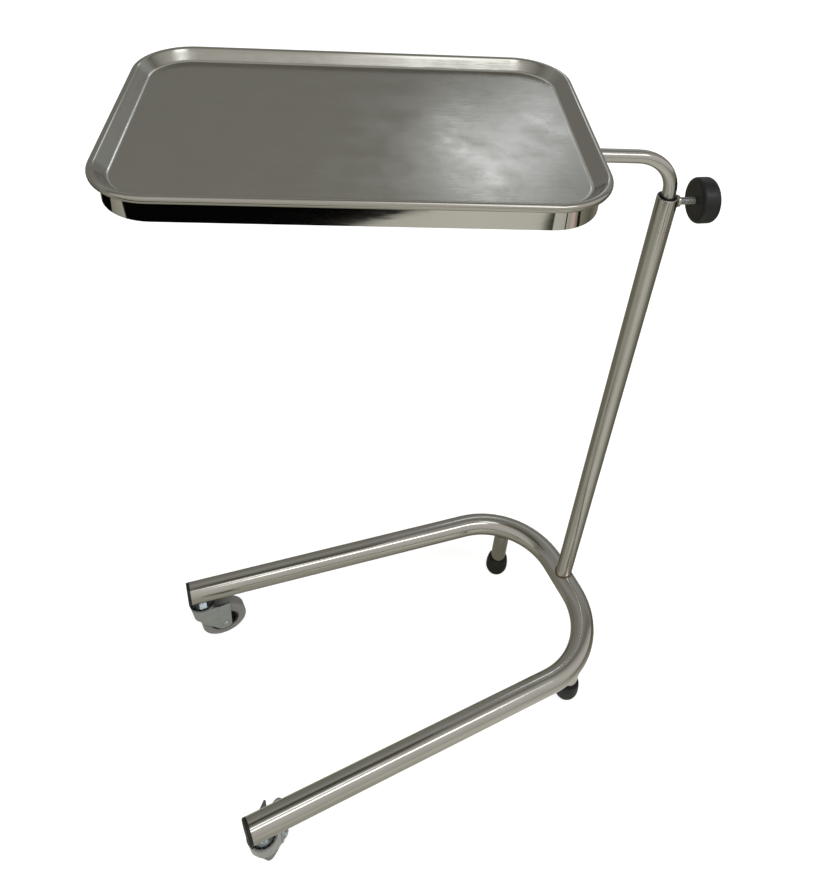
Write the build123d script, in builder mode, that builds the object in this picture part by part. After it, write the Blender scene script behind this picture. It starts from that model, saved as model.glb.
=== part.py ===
"""Instrument stand: a splayed U base on two casters and two feet, a mast, a swivel arm and a lift-off tray.

Units are millimetres, +Z is up and the floor is z = 0. The mast is towards +X and the casters are towards -X.
"""
import os
from math import cos, radians, sin, sqrt, tan

from build123d import *

# Place of the mast axis in the frame whose origin is under the middle of the stand
MAST_X = 247.4
MAST_Y = -66.2

# Base tube: a U whose legs open towards the casters
BASE_Z = 110.0
TUBE_D = 31.8
TUBE_WALL = 1.5
LEG_REACH = 511.0
CORNER_Y = 124.3
SPLAY = 4.2
BEND_R = 106.0

# Mast
MAST_D = 22.2
MAST_WALL = 1.2
MOUTH_FILLET = 0.4
PUNCH_D = 2.4
PUNCH_DEPTH = 0.6
PUNCH_FACING = 226.0
PUNCH_TURN = 32.0
PUNCH_UPPER_DROP = 20.0
PUNCH_LOWER_DROP = 37.0

# Guide bush in the mast's mouth
BUSH_LENGTH = 34.0
BUSH_RECESS = 0.6
BUSH_CHAMFER = 0.8

# Arm rod
ROD_D = 14.0
ELBOW_R = 40.0
ROD_STAND = 45.1
ROD_DROP = 380.0
ARM_AZIMUTH = 159.9
ROD_END_CHAMFER = 1.0
SPIGOT_D = 10.0
GUIDE_LENGTH = 22.0
GUIDE_SCREW_D = 5.0
GUIDE_SCREW_DEPTH = 14.0
GUIDE_SCREW_HEAD_D = 8.5
GUIDE_SCREW_HEAD_H = 4.0
GUIDE_SOCKET_AF = 4.0
GUIDE_SOCKET_DEPTH = 2.2
GUIDE_WASHER_D = 15.0
GUIDE_WASHER_T = 1.2

# Tray
TRAY_LENGTH = 450.0
TRAY_WIDTH = 300.0
TRAY_CORNER_R = 58.0
TRAY_REACH = 320.0
RIM_TOP_Z = 851.5
BEAD_D = 8.0
SHEET_T = 1.0
TRAY_DEPTH = 11.0
CURL_TURN = 285.0
FLOOR_FILLET = 5.0

# Flat-bar ring that the tray drops into
RING_INSET = 8.8
RING_T = 3.0
RING_H = 21.5
WELD_SADDLE = 1.0

# Clamp screw
CLAMP_AZIMUTH = -14.5
CLAMP_DROP = 6.2
STUD_D = 8.0
BOSS_D = 12.0
BOSS_PROUD = 2.6
BOSS_CHAMFER = 0.6
KNOB_D = 48.0
KNOB_START = 29.6
KNOB_T = 20.4
KNOB_BACK_FILLET = 4.5
KNOB_FRONT_FILLET = 7.0
KNOB_CAP_D = 34.0
KNOB_CAP_T = 2.4
KNOB_CAP_DISH = 0.7
INSERT_AF = 13.0
HEX_SIDES = 6
INSERT_LENGTH = 13.0
INSERT_STEP = 1.0
PAD_T = 2.0
PAD_D = 7.0
PAD_SPIGOT_D = 4.0
PAD_SPIGOT_LENGTH = 3.0
KNOB_RIB_COUNT = 6
KNOB_RIB_T = 1.8
KNOB_WALL = 2.4

# Rear feet
FOOT_ANGLE = 51.5
FOOT_D = 33.0
FOOT_RIM_D = 29.0
FOOT_FACE_D = 19.0
FOOT_H = 34.5
FOOT_BELLY_Z = 16.5
FOOT_FLOOR_T = 8.0
FOOT_LIP_FILLET = 1.2

# Leg end caps
CAP_FLANGE_T = 4.5
CAP_FILLET = 1.6
CAP_PLUG_LENGTH = 4.8
CAP_PLUG_WALL = 2.0

# Casters
CASTER_INSET = 14.0
TRAIL_LEFT = 4.0
TRAIL_RIGHT = 48.0
TRAIL = 27.5
WHEEL_D = 65.0
TYRE_W = 20.0
TYRE_BED_D = 41.0
TYRE_FILLET = 4.0
HUB_RIM_W = 17.0
HUB_RIM_T = 3.5
HUB_WEB_T = 7.0
HUB_BOSS_D = 17.0
HUB_SPOKE_COUNT = 6
HUB_HOLE_D = 5.0
AXLE_D = 6.0
AXLE_HEAD_D = 10.0
AXLE_HEAD_T = 1.8
AXLE_HEAD_FILLET = 1.2
FORK_INNER_W = 26.0
FORK_T = 2.0
LEG_PAD_T = 1.0
SKIRT_FRONT_Z = 57.0
DISH_D = 37.0
DISH_FLOOR_D = 28.0
DISH_DEPTH = 3.6
HEX_AF = 17.0
HEX_H = 8.0
RACE_D = 27.0
RACE_T = 1.5
BALL_D = 3.5
BALL_COUNT = 14
BALL_CIRCLE_D = 21.0
GROOVE_DEPTH = 0.7
STEM_D = 10.0
KINGPIN_D = 11.0
KINGPIN_FLANGE_D = 17.0
KINGPIN_FLANGE_T = 3.0
INSERT_NUT_D = 17.0
INSERT_NUT_H = 8.0
STEM_TOP_CHAMFER = 1.0

# Clearances
SLIDE_CLEARANCE = 0.08
RUN_CLEARANCE = 0.06
SIDE_CLEARANCE = 0.4
TRAY_SEAT_GAP = 0.3
BALL_GAP = 0.02
HOLE_CLEARANCE = 0.2
CUT_EXTRA = 1.0

# Sizes derived from the ones above
TUBE_R = TUBE_D / 2
TUBE_INNER_R = TUBE_R - TUBE_WALL
MAST_R = MAST_D / 2
MAST_INNER_R = MAST_R - MAST_WALL
ROD_R = ROD_D / 2
BEAD_R = BEAD_D / 2
STUD_R = STUD_D / 2
STEM_R = STEM_D / 2
KINGPIN_R = KINGPIN_D / 2
FOOT_R = FOOT_D / 2
WHEEL_R = WHEEL_D / 2
AXLE_R = AXLE_D / 2
BALL_R = BALL_D / 2

LEG_END_Y = CORNER_Y + LEG_REACH * tan(radians(SPLAY))
BASE_BOTTOM_Z = BASE_Z - TUBE_R

# The wall leaves the bead at its 45 degree tangent point, so the floor's inset follows from the depth
SLANT = sqrt(2) / 2
WALL_TOP_INSET = BEAD_R * (1 + SLANT)
WALL_TOP_DROP = BEAD_R * (1 - SLANT)
FLOOR_INSET = WALL_TOP_INSET + TRAY_DEPTH - WALL_TOP_DROP
WALL_SHIFT = SHEET_T / SLANT
FLOOR_Z = RIM_TOP_Z - TRAY_DEPTH
FLOOR_SEAM_INSET = FLOOR_INSET + 2 * FLOOR_FILLET

# The ring's inner top corner stays just under the sloping wall
RING_CLEAR_DROP = WALL_TOP_DROP + RING_INSET + RING_T - WALL_TOP_INSET + WALL_SHIFT
RING_TOP_Z = RIM_TOP_Z - RING_CLEAR_DROP - TRAY_SEAT_GAP / SLANT
RING_BOTTOM_Z = RING_TOP_Z - RING_H
ROD_Z = RING_BOTTOM_Z - ROD_R + WELD_SADDLE

# The rod stands a set height out of the mast, so the mast's top follows the tray
MAST_TOP_Z = ROD_Z - ROD_STAND
ROD_FOOT_Z = MAST_TOP_Z - ROD_DROP
CLAMP_Z = MAST_TOP_Z - CLAMP_DROP

# Casters: heights of the fixed upper race, the balls and the fork's dish, from the tube down
HEX_BOTTOM_Z = BASE_BOTTOM_Z - HEX_H
RACE_BOTTOM_Z = HEX_BOTTOM_Z - RACE_T
BALL_Z = RACE_BOTTOM_Z + GROOVE_DEPTH - BALL_R - BALL_GAP
DISH_FLOOR_Z = BALL_Z - BALL_R - BALL_GAP + GROOVE_DEPTH
DISH_LIP_Z = DISH_FLOOR_Z + DISH_DEPTH
CROWN_BOTTOM_Z = DISH_FLOOR_Z - FORK_T
KINGPIN_BOTTOM_Z = CROWN_BOTTOM_Z - SIDE_CLEARANCE - KINGPIN_FLANGE_T
INSERT_BOTTOM_Z = BASE_Z - sqrt(TUBE_INNER_R**2 - (INSERT_NUT_D / 2) ** 2)
STEM_TOP_Z = INSERT_BOTTOM_Z + INSERT_NUT_H + STEM_TOP_CHAMFER
GROOVE_R = BALL_R + BALL_GAP

# Caster fork: reaches of its skirt ahead of and behind the stem, and its legs
SKIRT_R = (DISH_D - FORK_T) / 2
SKIRT_FRONT = WHEEL_R + 2 * FORK_T - TRAIL
SKIRT_REAR = TRAIL + WHEEL_R
SKIRT_BOTTOM_Z = WHEEL_R / 2
LEG_HALF_W = FORK_INNER_W / 2 + FORK_T
LEG_EYE_R = HUB_BOSS_D / 2
LEG_FACE = LEG_HALF_W + LEG_PAD_T
SKIRT_TOP_CORNER_R = LEG_HALF_W - FORK_T / 2
SKIRT_LOW_CORNER_R = LEG_HALF_W - 2 * FORK_T


def at_mast(x, y, z):
    """Point given from the foot of the mast axis."""
    return (MAST_X + x, MAST_Y + y, z)


def bearing(azimuth, reach=1):
    """Plan vector of a given length along a compass azimuth measured from +X."""
    return (reach * cos(radians(azimuth)), reach * sin(radians(azimuth)), 0)


BASE_CORNERS = [
    at_mast(-LEG_REACH, -LEG_END_Y, BASE_Z),
    at_mast(0, -CORNER_Y, BASE_Z),
    at_mast(0, CORNER_Y, BASE_Z),
    at_mast(-LEG_REACH, LEG_END_Y, BASE_Z),
]
BEND_TANGENT = BEND_R * tan(radians(90 - SPLAY) / 2)
BEND_CENTRE_Y = CORNER_Y - BEND_TANGENT

arm_x, arm_y, _ = bearing(ARM_AZIMUTH)
TRAY_X = MAST_X + TRAY_REACH * arm_x
TRAY_Y = MAST_Y + TRAY_REACH * arm_y
CLAMP_PLANE = Plane(origin=at_mast(0, 0, CLAMP_Z), x_dir=(0, 0, 1), z_dir=bearing(CLAMP_AZIMUTH))

SIDES = {"left": 1, "right": -1}


def tray_plane(z):
    """Level plane over the tray's middle, with local +X pointing from the mast along the arm."""
    return Plane(origin=(TRAY_X, TRAY_Y, z), x_dir=(arm_x, arm_y, 0), z_dir=(0, 0, 1))


def tray_outline(inset):
    """Rounded rectangle a given distance inside the tray's outer edge."""
    RectangleRounded(TRAY_LENGTH - 2 * inset, TRAY_WIDTH - 2 * inset, TRAY_CORNER_R - inset)


def leg_plane(side):
    """Plane across a leg's open end, facing out of the tube."""
    outward = (-cos(radians(SPLAY)), side * sin(radians(SPLAY)), 0)
    origin = at_mast(-LEG_REACH, side * LEG_END_Y, BASE_Z)
    return Plane(origin=origin, x_dir=(0, 0, 1), z_dir=outward)


def caster_point(side):
    """Stem axis in plan, set back from the leg's end."""
    x = MAST_X - LEG_REACH + CASTER_INSET * cos(radians(SPLAY))
    y = MAST_Y + side * (LEG_END_Y - CASTER_INSET * sin(radians(SPLAY)))
    return x, y


def foot_point(side):
    """Foot axis in plan, under the bend's centre line."""
    x = MAST_X - BEND_R + BEND_R * cos(radians(FOOT_ANGLE))
    y = MAST_Y + side * (BEND_CENTRE_Y + BEND_R * sin(radians(FOOT_ANGLE)))
    return x, y


def publish(builder, label):
    """Label a finished sub-part and write its STEP file."""
    builder.part.label = label
    export_step(builder.part, f"parts/{label}.step")


os.makedirs("parts", exist_ok=True)

# Base tube, bent from one length, with a hole under each leg for the caster stem
with BuildPart() as base_tube:
    with BuildLine() as base_path:
        FilletPolyline(*BASE_CORNERS, radius=BEND_R)
    with BuildSketch(Plane(origin=base_path.line @ 0, z_dir=base_path.line % 0)):
        Circle(TUBE_R)
        Circle(TUBE_INNER_R, mode=Mode.SUBTRACT)
    sweep(path=base_path.line)
    for side in SIDES.values():
        with BuildSketch(Plane(origin=(*caster_point(side), BASE_Z))):
            Circle(STEM_R + HOLE_CLEARANCE)
        extrude(amount=-TUBE_D, mode=Mode.SUBTRACT)
publish(base_tube, "base_tube")

# Mast tube, coped to the base and drilled for the clamp screw
with BuildPart() as mast_tube:
    with BuildSketch(Plane(origin=at_mast(0, 0, BASE_Z))):
        Circle(MAST_R)
        Circle(MAST_INNER_R, mode=Mode.SUBTRACT)
    extrude(amount=MAST_TOP_Z - BASE_Z)
    with BuildSketch(Plane(origin=at_mast(0, -MAST_D, BASE_Z), z_dir=(0, 1, 0))):
        Circle(TUBE_R)
    extrude(amount=2 * MAST_D, mode=Mode.SUBTRACT)
    with BuildSketch(CLAMP_PLANE):
        Circle(STUD_R + RUN_CLEARANCE)
    extrude(amount=MAST_D, mode=Mode.SUBTRACT)
    punch_spots = (
        (PUNCH_FACING, PUNCH_UPPER_DROP),
        (PUNCH_FACING, PUNCH_LOWER_DROP),
        (PUNCH_FACING + PUNCH_TURN, PUNCH_LOWER_DROP),
    )
    for azimuth, drop in punch_spots:
        reach_x, reach_y, _ = bearing(azimuth, MAST_R - PUNCH_DEPTH)
        spot = Plane(origin=at_mast(reach_x, reach_y, MAST_TOP_Z - drop), z_dir=bearing(azimuth))
        with BuildSketch(spot):
            Circle(PUNCH_D / 2)
        extrude(amount=MAST_R, mode=Mode.SUBTRACT)
    mouth = mast_tube.edges().filter_by(GeomType.CIRCLE).group_by(Axis.Z)[-1]
    fillet(mouth, radius=MOUTH_FILLET)
publish(mast_tube, "mast_tube")

# Black bush that guides the rod in the mast's mouth
with BuildPart() as mast_bush:
    with BuildSketch(Plane(origin=at_mast(0, 0, MAST_TOP_Z - BUSH_RECESS))):
        Circle(MAST_INNER_R)
        Circle(ROD_R + SLIDE_CLEARANCE, mode=Mode.SUBTRACT)
    extrude(amount=-BUSH_LENGTH)
    with BuildSketch(CLAMP_PLANE):
        Circle(STUD_R + RUN_CLEARANCE)
    extrude(amount=MAST_D, mode=Mode.SUBTRACT)
    bore_ends = mast_bush.faces().sort_by(Axis.Z)[-1].edges().sort_by(SortBy.RADIUS)[:1]
    chamfer(bore_ends, length=BUSH_CHAMFER)
publish(mast_bush, "mast_bush")

# Threaded boss welded to the side of the mast
with BuildPart() as clamp_boss:
    with BuildSketch(CLAMP_PLANE):
        Circle(BOSS_D / 2)
    extrude(amount=MAST_R + BOSS_PROUD)
    outer_face = clamp_boss.faces().sort_by(Axis(CLAMP_PLANE.origin, CLAMP_PLANE.z_dir))[-1]
    chamfer(outer_face.edges(), length=BOSS_CHAMFER)
    with BuildSketch(CLAMP_PLANE):
        Circle(STUD_R + RUN_CLEARANCE)
    extrude(amount=MAST_D, mode=Mode.SUBTRACT)
    with BuildSketch(Plane(origin=at_mast(0, 0, MAST_TOP_Z - MAST_D))):
        Circle(MAST_R)
    extrude(amount=2 * MAST_D, mode=Mode.SUBTRACT)
publish(clamp_boss, "clamp_boss")

# Pad at the screw's tip that presses on the rod without turning
PAD_START = ROD_R + RUN_CLEARANCE
STUD_START = PAD_START + PAD_T
with BuildPart() as clamp_pad:
    with BuildSketch(CLAMP_PLANE.offset(PAD_START)):
        Circle(PAD_D / 2)
    extrude(amount=PAD_T - RUN_CLEARANCE)
    with BuildSketch(CLAMP_PLANE.offset(PAD_START)):
        Circle(PAD_SPIGOT_D / 2)
    extrude(amount=PAD_T + PAD_SPIGOT_LENGTH)
publish(clamp_pad, "clamp_pad")

# Clamp screw
STUD_END = KNOB_START + INSERT_STEP + INSERT_LENGTH
with BuildPart() as clamp_stud:
    with BuildSketch(CLAMP_PLANE.offset(STUD_START)):
        Circle(STUD_R)
    extrude(amount=STUD_END - STUD_START)
    tip = clamp_stud.faces().sort_by(Axis(CLAMP_PLANE.origin, CLAMP_PLANE.z_dir))[0]
    chamfer(tip.edges(), length=BOSS_CHAMFER)
    with BuildSketch(CLAMP_PLANE.offset(STUD_START)):
        Circle(PAD_SPIGOT_D / 2 + RUN_CLEARANCE)
    extrude(amount=PAD_SPIGOT_LENGTH + RUN_CLEARANCE, mode=Mode.SUBTRACT)
publish(clamp_stud, "clamp_stud")

# Hexagonal metal insert moulded into the knob
with BuildPart() as knob_insert:
    with BuildSketch(CLAMP_PLANE.offset(KNOB_START + INSERT_STEP)):
        RegularPolygon(INSERT_AF / 2, side_count=HEX_SIDES, major_radius=False)
        Circle(STUD_R, mode=Mode.SUBTRACT)
    extrude(amount=INSERT_LENGTH)
publish(knob_insert, "knob_insert")

# Round knob: a thick-skinned cup stiffened by ribs round its core
KNOB_END = KNOB_START + KNOB_T
CAP_SEAT = KNOB_END - KNOB_CAP_T
with BuildPart() as clamp_knob:
    with BuildSketch(CLAMP_PLANE.offset(KNOB_START)):
        Circle(KNOB_D / 2)
    extrude(amount=KNOB_T)
    screw_axis = Axis(CLAMP_PLANE.origin, CLAMP_PLANE.z_dir)
    ends = clamp_knob.edges().filter_by(GeomType.CIRCLE).sort_by(screw_axis)
    fillet(ends[0], radius=KNOB_BACK_FILLET)
    ends = clamp_knob.edges().filter_by(GeomType.CIRCLE).sort_by(screw_axis)
    fillet(ends[-1], radius=KNOB_FRONT_FILLET)
    with BuildSketch(CLAMP_PLANE.offset(CAP_SEAT)):
        Circle(KNOB_CAP_D / 2)
    extrude(amount=KNOB_CAP_T, mode=Mode.SUBTRACT)
    CORE_R = INSERT_AF / 2 / cos(radians(180 / HEX_SIDES)) + KNOB_WALL
    POCKET_R = KNOB_CAP_D / 2 - KNOB_WALL
    with BuildSketch(CLAMP_PLANE.offset(CAP_SEAT)):
        Circle(POCKET_R)
        Circle(CORE_R, mode=Mode.SUBTRACT)
        with PolarLocations(0, KNOB_RIB_COUNT):
            Rectangle(KNOB_D, KNOB_RIB_T, mode=Mode.SUBTRACT)
    extrude(amount=-(KNOB_T - KNOB_CAP_T - 2 * KNOB_WALL), mode=Mode.SUBTRACT)
    with BuildSketch(CLAMP_PLANE.offset(KNOB_START + INSERT_STEP)):
        RegularPolygon(INSERT_AF / 2, side_count=HEX_SIDES, major_radius=False)
    extrude(amount=INSERT_LENGTH, mode=Mode.SUBTRACT)
    with BuildSketch(CLAMP_PLANE.offset(KNOB_START - CUT_EXTRA)):
        Circle(STUD_R)
    extrude(amount=INSERT_STEP + CUT_EXTRA, mode=Mode.SUBTRACT)
publish(clamp_knob, "clamp_knob")

# Cap that closes the knob's outer face, dished in its middle
with BuildPart() as knob_cap:
    with BuildSketch(CLAMP_PLANE.offset(CAP_SEAT)):
        Circle(KNOB_CAP_D / 2)
    extrude(amount=KNOB_CAP_T)
    with BuildSketch(CLAMP_PLANE.offset(KNOB_END)):
        Circle(KNOB_CAP_D / 2 - KNOB_WALL)
    extrude(amount=-KNOB_CAP_DISH, mode=Mode.SUBTRACT)
publish(knob_cap, "knob_cap")

# Rod guide: a plug that slides in the mast and carries the turning rod
GUIDE_BOTTOM_Z = ROD_FOOT_Z - GUIDE_LENGTH
with BuildPart() as rod_guide:
    with BuildSketch(Plane(origin=at_mast(0, 0, GUIDE_BOTTOM_Z))):
        Circle(MAST_INNER_R - SLIDE_CLEARANCE)
        Circle(SPIGOT_D / 2 + RUN_CLEARANCE, mode=Mode.SUBTRACT)
    extrude(amount=GUIDE_LENGTH - SIDE_CLEARANCE)
    rims = rod_guide.edges().filter_by(GeomType.CIRCLE).sort_by(SortBy.RADIUS)[-2:]
    chamfer(rims, length=BUSH_CHAMFER)
publish(rod_guide, "rod_guide")

# Arm rod: up out of the mast, round the elbow and out under the whole ring
ARM_END = TRAY_REACH + TRAY_LENGTH / 2 - RING_INSET
SPIGOT_END_Z = GUIDE_BOTTOM_Z - SIDE_CLEARANCE
with BuildPart() as arm_rod:
    with BuildLine() as arm_path:
        FilletPolyline(
            at_mast(0, 0, ROD_FOOT_Z),
            at_mast(0, 0, ROD_Z),
            at_mast(arm_x * ARM_END, arm_y * ARM_END, ROD_Z),
            radius=ELBOW_R,
        )
    with BuildSketch(Plane(origin=arm_path.line @ 0, z_dir=arm_path.line % 0)):
        Circle(ROD_R)
    sweep(path=arm_path.line)
    outer_end = arm_rod.faces().sort_by(Axis((0, 0, 0), (arm_x, arm_y, 0)))[-1]
    chamfer(outer_end.edges(), length=ROD_END_CHAMFER)
    with BuildSketch(Plane(origin=at_mast(0, 0, SPIGOT_END_Z))):
        Circle(SPIGOT_D / 2)
    extrude(amount=ROD_FOOT_Z - SPIGOT_END_Z)
    with BuildSketch(Plane(origin=at_mast(0, 0, SPIGOT_END_Z))):
        Circle(GUIDE_SCREW_D / 2)
    extrude(amount=GUIDE_SCREW_DEPTH, mode=Mode.SUBTRACT)
publish(arm_rod, "arm_rod")

# Washer and socket screw that hold the guide on the spigot
with BuildPart() as guide_washer:
    with BuildSketch(Plane(origin=at_mast(0, 0, SPIGOT_END_Z))):
        Circle(GUIDE_WASHER_D / 2)
        Circle(GUIDE_SCREW_D / 2, mode=Mode.SUBTRACT)
    extrude(amount=-GUIDE_WASHER_T)
publish(guide_washer, "guide_washer")

with BuildPart() as guide_screw:
    with BuildSketch(Plane(origin=at_mast(0, 0, SPIGOT_END_Z + GUIDE_SCREW_DEPTH))):
        Circle(GUIDE_SCREW_D / 2)
    extrude(amount=-GUIDE_SCREW_DEPTH - GUIDE_WASHER_T)
    with BuildSketch(Plane(origin=at_mast(0, 0, SPIGOT_END_Z - GUIDE_WASHER_T))):
        Circle(GUIDE_SCREW_HEAD_D / 2)
    extrude(amount=-GUIDE_SCREW_HEAD_H)
    head_face = guide_screw.faces().sort_by(Axis.Z)[0]
    chamfer(head_face.edges(), length=BUSH_CHAMFER / 2)
    with BuildSketch(Plane(origin=at_mast(0, 0, SPIGOT_END_Z - GUIDE_WASHER_T - GUIDE_SCREW_HEAD_H))):
        RegularPolygon(GUIDE_SOCKET_AF / 2, side_count=HEX_SIDES, major_radius=False)
    extrude(amount=GUIDE_SOCKET_DEPTH, mode=Mode.SUBTRACT)
publish(guide_screw, "guide_screw")

# Flat-bar ring, saddled on to the rod at both ends
with BuildPart() as tray_ring:
    with BuildSketch(tray_plane(RING_BOTTOM_Z)):
        tray_outline(RING_INSET)
        offset(amount=-RING_T, mode=Mode.SUBTRACT)
    extrude(amount=RING_H)
    with BuildSketch(Plane(origin=at_mast(0, 0, ROD_Z), z_dir=(arm_x, arm_y, 0))):
        Circle(ROD_R)
    extrude(amount=ARM_END + CUT_EXTRA, mode=Mode.SUBTRACT)
publish(tray_ring, "tray_ring")

# Tray: half of its wall and curled edge is one section swept round the rim, then mirrored and floored
with BuildPart() as tray:
    half_length = TRAY_LENGTH / 2 - BEAD_R
    half_width = TRAY_WIDTH / 2 - BEAD_R
    with BuildLine(tray_plane(RIM_TOP_Z - BEAD_R)) as bead_path:
        FilletPolyline(
            (0, -half_width),
            (half_length, -half_width),
            (half_length, half_width),
            (0, half_width),
            radius=TRAY_CORNER_R - BEAD_R,
        )
    # Across the section local X points out of the tray and local Y points down
    across = Plane(origin=bead_path.line @ 0, x_dir=(arm_y, -arm_x, 0), z_dir=bead_path.line % 0)
    with BuildSketch(across) as wall_section:
        outer_top = -BEAD_R * SLANT
        inner_top = -(BEAD_R - SHEET_T) * SLANT
        floor_y = TRAY_DEPTH - BEAD_R
        seam_x = BEAD_R - FLOOR_SEAM_INSET
        with BuildLine():
            outer_curl = CenterArc((0, 0), BEAD_R, 180 + 90 / 2, CURL_TURN)
            inner_curl = CenterArc((0, 0), BEAD_R - SHEET_T, 180 + 90 / 2, CURL_TURN)
            Line(outer_curl @ 1, inner_curl @ 1)
            Polyline(
                (outer_top, outer_top),
                (BEAD_R - FLOOR_INSET, floor_y),
                (seam_x, floor_y),
                (seam_x, floor_y + SHEET_T),
                (BEAD_R - FLOOR_INSET + WALL_SHIFT - SHEET_T, floor_y + SHEET_T),
                (inner_top, inner_top),
            )
        make_face()
        floor_top_corner = wall_section.vertices().group_by(Axis.Y)[-2].sort_by(Axis.X)[-1]
        fillet(floor_top_corner, radius=FLOOR_FILLET)
        floor_under_corner = wall_section.vertices().group_by(Axis.Y)[-1].sort_by(Axis.X)[-1]
        fillet(floor_under_corner, radius=FLOOR_FILLET + SHEET_T)
    sweep(path=bead_path.line)
    mirror(about=Plane(origin=(TRAY_X, TRAY_Y, 0), x_dir=(0, 0, 1), z_dir=(arm_x, arm_y, 0)))
    with BuildSketch(tray_plane(FLOOR_Z - SHEET_T)):
        tray_outline(FLOOR_SEAM_INSET)
    extrude(amount=SHEET_T)
publish(tray, "tray")

# Rear feet: a stub coped to the bend, with a rubber ferrule pushed on to it
for name, side in SIDES.items():
    foot_x, foot_y = foot_point(side)
    with BuildPart() as foot_stub:
        with BuildSketch(Plane(origin=(foot_x, foot_y, FOOT_FLOOR_T))):
            Circle(MAST_R)
            Circle(MAST_INNER_R, mode=Mode.SUBTRACT)
        extrude(amount=BASE_Z - FOOT_FLOOR_T)
        with BuildLine() as cope_path:
            FilletPolyline(*BASE_CORNERS, radius=BEND_R)
        with BuildSketch(Plane(origin=cope_path.line @ 0, z_dir=cope_path.line % 0)):
            Circle(TUBE_R)
        sweep(path=cope_path.line, mode=Mode.SUBTRACT)
    publish(foot_stub, f"foot_stub_{name}")

    with BuildPart() as foot:
        with BuildSketch(Plane(origin=(foot_x, foot_y, 0), z_dir=(0, -1, 0), x_dir=(1, 0, 0))):
            with BuildLine():
                Polyline((FOOT_RIM_D / 2, FOOT_H), (0, FOOT_H), (0, 0), (FOOT_FACE_D / 2, 0))
                TangentArc((FOOT_R, FOOT_BELLY_Z), (FOOT_FACE_D / 2, 0), tangent=(0, -1))
                TangentArc((FOOT_R, FOOT_BELLY_Z), (FOOT_RIM_D / 2, FOOT_H), tangent=(0, 1))
            make_face()
        revolve(axis=Axis((foot_x, foot_y, 0), (0, 0, 1)))
        lip = foot.faces().sort_by(Axis.Z)[-1].edges()
        fillet(lip, radius=FOOT_LIP_FILLET)
        with BuildSketch(Plane(origin=(foot_x, foot_y, FOOT_FLOOR_T))):
            Circle(MAST_R)
        extrude(amount=FOOT_H, mode=Mode.SUBTRACT)
    publish(foot, f"foot_{name}")

# Plastic caps in the leg ends
for name, side in SIDES.items():
    end_plane = leg_plane(side)
    with BuildPart() as end_cap:
        with BuildSketch(end_plane):
            Circle(TUBE_R)
        extrude(amount=CAP_FLANGE_T)
        rim = end_cap.faces().sort_by(Axis(end_plane.origin, end_plane.z_dir))[-1]
        fillet(rim.edges(), radius=CAP_FILLET)
        with BuildSketch(end_plane):
            Circle(TUBE_INNER_R)
            Circle(TUBE_INNER_R - CAP_PLUG_WALL, mode=Mode.SUBTRACT)
        extrude(amount=-CAP_PLUG_LENGTH)
    publish(end_cap, f"end_cap_{name}")

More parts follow.
